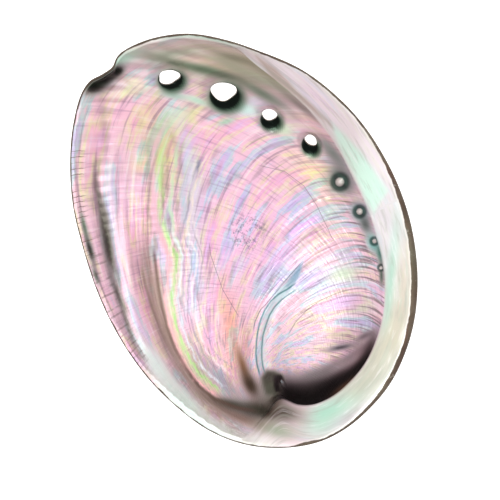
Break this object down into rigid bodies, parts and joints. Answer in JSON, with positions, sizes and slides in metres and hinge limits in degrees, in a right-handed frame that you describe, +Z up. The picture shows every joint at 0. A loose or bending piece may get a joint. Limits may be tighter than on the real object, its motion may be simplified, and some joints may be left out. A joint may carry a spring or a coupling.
{
  "type": "abalone shell",
  "caption": "Empty abalone shell lying on its back: an oval pearly bowl with a row of breathing holes, a broad inner shelf on one side and a low spire at one end.",
  "frame": {"origin": "middle of the shell's outline, on the surface it lies on", "axes": "+Z up, out of the open mouth; +Y along the shell's length, from the spire end towards the newest hole; +X towards the inner shelf"},
  "size_m": [0.1086, 0.1488, 0.0405],
  "materials": {
    "nacre": "gloss"
  },
  "bodies": {
    "root": {"shell": "nacre"}
  },
  "joints": []
}
